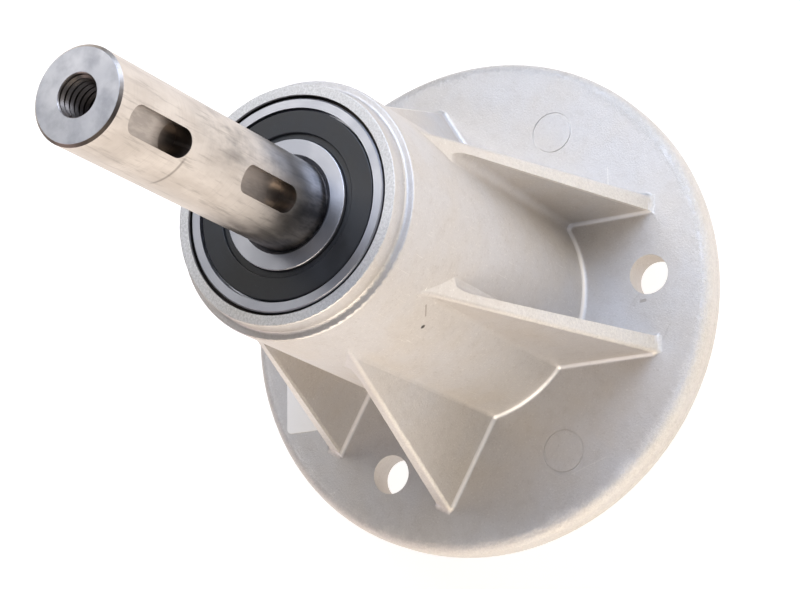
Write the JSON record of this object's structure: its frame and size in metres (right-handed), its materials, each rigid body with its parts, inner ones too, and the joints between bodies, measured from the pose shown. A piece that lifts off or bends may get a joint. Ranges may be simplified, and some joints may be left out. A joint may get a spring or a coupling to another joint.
{
  "type": "mower deck spindle",
  "caption": "Cast mower deck spindle with a flanged, ribbed housing, a keyed shaft and two sealed ball bearings.",
  "frame": {"origin": "centre of the flange's underside, on the shaft's axis", "axes": "+Z along the shaft, up its long keyed end; +X through one bolt hole"},
  "size_m": [0.1232, 0.1232, 0.195],
  "materials": {
    "cast_aluminium": "as cast, dry",
    "ground_steel": "ground",
    "bearing_steel": "fine ground",
    "cage_steel": "pressed",
    "seal_rubber": "moulded, satin",
    "label_paper": "uncoated paper"
  },
  "bodies": {
    "casing": {"housing": "cast_aluminium", "paper_label": "label_paper", "upper_bearing_outer_ring": "bearing_steel", "lower_bearing_outer_ring": "bearing_steel", "upper_bearing_outer_seal": "seal_rubber", "upper_bearing_inner_seal": "seal_rubber", "lower_bearing_outer_seal": "seal_rubber", "lower_bearing_inner_seal": "seal_rubber"},
    "rotor": {"shaft": "ground_steel", "bearing_spacer": "ground_steel", "upper_bearing_inner_ring": "bearing_steel", "lower_bearing_inner_ring": "bearing_steel"},
    "upper_cage": {"upper_bearing_balls": "bearing_steel", "upper_bearing_cage_upper_half": "cage_steel", "upper_bearing_cage_lower_half": "cage_steel", "upper_bearing_cage_rivets": "cage_steel"},
    "lower_cage": {"lower_bearing_balls": "bearing_steel", "lower_bearing_cage_upper_half": "cage_steel", "lower_bearing_cage_lower_half": "cage_steel", "lower_bearing_cage_rivets": "cage_steel"}
  },
  "joints": [
    {"name": "shaft_spin", "type": "hinge", "parent": "casing", "child": "rotor", "pos_m": [0, 0, 0], "axis": [0, 0, 1], "continuous": true},
    {"name": "upper_cage_spin", "type": "hinge", "parent": "casing", "child": "upper_cage", "pos_m": [0, 0, 0.0883], "axis": [0, 0, 1], "continuous": true},
    {"name": "lower_cage_spin", "type": "hinge", "parent": "casing", "child": "lower_cage", "pos_m": [0, 0, 0.0072], "axis": [0, 0, 1], "continuous": true}
  ],
  "couplings": [
    {"joint": "upper_cage_spin", "follows": "shaft_spin", "ratio": 0.38152},
    {"joint": "lower_cage_spin", "follows": "shaft_spin", "ratio": 0.38152}
  ]
}
